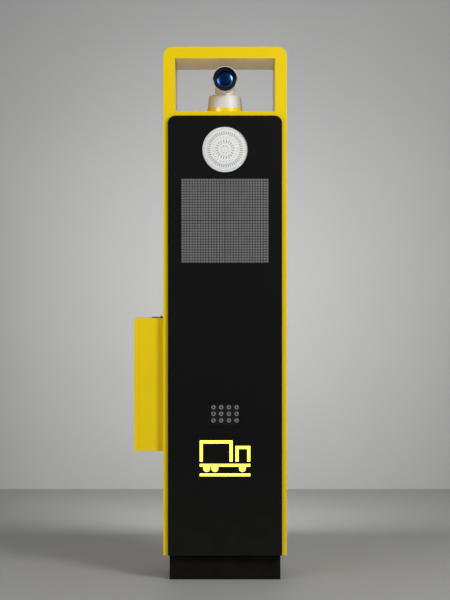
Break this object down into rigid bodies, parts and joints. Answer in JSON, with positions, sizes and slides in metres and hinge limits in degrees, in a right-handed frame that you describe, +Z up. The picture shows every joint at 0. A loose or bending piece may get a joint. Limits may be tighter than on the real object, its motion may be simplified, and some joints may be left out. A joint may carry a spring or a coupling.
{
  "type": "driver registration column",
  "caption": "Tall sheet-steel lane terminal with an arch over a camera, signal lamp, matrix display, lamp cluster, lit sign and a hinged side service box.",
  "frame": {"origin": "floor level under the base plate, at the centre of the four anchor holes", "axes": "+X to the right seen from the front, +Y to the back, so the panel faces -Y, +Z up"},
  "size_m": [0.668, 0.369, 2.33],
  "materials": {
    "yellow_powder": "satin powder coat",
    "black_powder": "matt fine-texture powder coat",
    "plinth_black": "matt powder coat",
    "zinc_plate": "zinc plated",
    "stainless": "brushed",
    "white_housing": "satin",
    "riser_yellow": "gloss",
    "black_plastic": "fine texture",
    "grey_plastic": "fine texture",
    "light_plastic": "fine texture",
    "rubber_black": "matt",
    "signal_white": "prismatic lens",
    "lamp_clear": "clear lens",
    "led_grey": "unlit display",
    "board_green": "solder resist",
    "sign_glow": "lit light guide",
    "camera_glass": "coated",
    "lens_black": "gloss",
    "button_red": "gloss",
    "button_collar": "fine texture",
    "ticket_paper": "uncoated",
    "lead_grey": "satin"
  },
  "bodies": {
    "column": {"plinth_box": "plinth_black", "base_plate": "plinth_black", "floor_deck": "zinc_plate", "cable_glands": "black_plastic", "left_side_sheet": "yellow_powder", "right_side_sheet": "yellow_powder", "arch_cap_sheet": "yellow_powder", "front_face_frame": "yellow_powder", "rear_face_frame": "yellow_powder", "window_liner": "yellow_powder", "camera_shelf": "yellow_powder", "front_panel": "black_powder", "panel_nuts": "stainless", "signal_gasket": "rubber_black", "signal_housing": "black_plastic", "signal_led_board": "board_green", "signal_lens": "signal_white", "display_frame": "black_powder", "display_modules": "led_grey", "lamp_body": "black_plastic", "lamp_lenses": "lamp_clear", "sign_light_guide": "sign_glow", "mounting_plate": "zinc_plate", "din_rails": "zinc_plate", "power_supply": "grey_plastic", "controller": "lead_grey", "breaker_body": "light_plastic", "door_seal": "rubber_black", "hinge_frame_leaves": "stainless", "camera_riser": "riser_yellow", "camera_base": "white_housing", "side_box": "yellow_powder", "side_box_brackets": "stainless", "call_button_body": "button_collar", "ticket_bezel": "button_collar", "printer_frame": "zinc_plate"},
    "rear_door": {"rear_door": "yellow_powder", "hinge_door_leaves": "stainless", "rear_lock_bodies": "stainless", "vent_grilles": "black_plastic", "fan_frame": "black_plastic"},
    "rear_lock_upper": {"rear_lock_upper": "stainless"},
    "rear_lock_lower": {"rear_lock_lower": "stainless"},
    "fan_rotor": {"fan_rotor": "black_plastic"},
    "side_door": {"side_door": "yellow_powder", "card_reader": "lens_black", "intercom_unit": "black_plastic"},
    "side_lock": {"side_lock_core": "stainless"},
    "camera_pan": {"camera_neck": "white_housing", "camera_tilt_bolts": "stainless"},
    "camera_tilt": {"camera_barrel": "white_housing", "camera_tail": "white_housing", "camera_front_ring": "black_plastic", "camera_glass": "camera_glass", "camera_lens": "lens_black", "camera_sunshield": "white_housing"},
    "call_button": {"call_button": "button_red"},
    "ticket_roll": {"paper_roll": "ticket_paper"},
    "feed_roller": {"platen_roller": "rubber_black"},
    "breaker_lever": {"breaker_lever": "black_plastic"}
  },
  "joints": [
    {"name": "rear_door_swing", "type": "hinge", "parent": "column", "child": "rear_door", "pos_m": [0.2165, 0.178, 1.07], "axis": [0, 0, -1], "range_deg": [0, 120]},
    {"name": "rear_lock_upper_turn", "type": "hinge", "parent": "rear_door", "child": "rear_lock_upper", "pos_m": [-0.185, 0.16, 1.6], "axis": [0, -1, 0], "range_deg": [0, 90]},
    {"name": "rear_lock_lower_turn", "type": "hinge", "parent": "rear_door", "child": "rear_lock_lower", "pos_m": [-0.185, 0.16, 0.6], "axis": [0, -1, 0], "range_deg": [0, 90]},
    {"name": "fan_spin", "type": "hinge", "parent": "rear_door", "child": "fan_rotor", "pos_m": [0, 0.155, 1.8], "axis": [0, 1, 0], "continuous": true},
    {"name": "side_door_swing", "type": "hinge", "parent": "column", "child": "side_door", "pos_m": [-0.37725, 0.105, 0.8535], "axis": [0, 0, -1], "range_deg": [0, 110]},
    {"name": "side_lock_turn", "type": "hinge", "parent": "side_door", "child": "side_lock", "pos_m": [-0.385, -0.115, 0.85], "axis": [1, 0, 0], "range_deg": [0, 90]},
    {"name": "camera_pan", "type": "hinge", "parent": "column", "child": "camera_pan", "pos_m": [0, 0.04, 2.14], "axis": [0, 0, 1], "range_deg": [-170, 170]},
    {"name": "camera_tilt", "type": "hinge", "parent": "camera_pan", "child": "camera_tilt", "pos_m": [0, 0.04, 2.192], "axis": [1, 0, 0], "range_deg": [-7, 12]},
    {"name": "call_button_press", "type": "slide", "parent": "column", "child": "call_button", "axis": [0, 0, -1], "range_m": [0, 0.003], "stiffness_N_per_m": 600},
    {"name": "ticket_roll_spin", "type": "hinge", "parent": "column", "child": "ticket_roll", "pos_m": [-0.341, -0.022, 1.04], "axis": [0, 1, 0], "continuous": true},
    {"name": "feed_roller_spin", "type": "hinge", "parent": "column", "child": "feed_roller", "pos_m": [-0.3012, -0.022, 1.105], "axis": [0, 1, 0], "continuous": true},
    {"name": "breaker_throw", "type": "hinge", "parent": "column", "child": "breaker_lever", "pos_m": [0.111, 0.054, 1.3], "axis": [-1, 0, 0], "range_deg": [0, 70]}
  ],
  "couplings": [
    {"joint": "feed_roller_spin", "follows": "ticket_roll_spin", "ratio": -3.75}
  ]
}
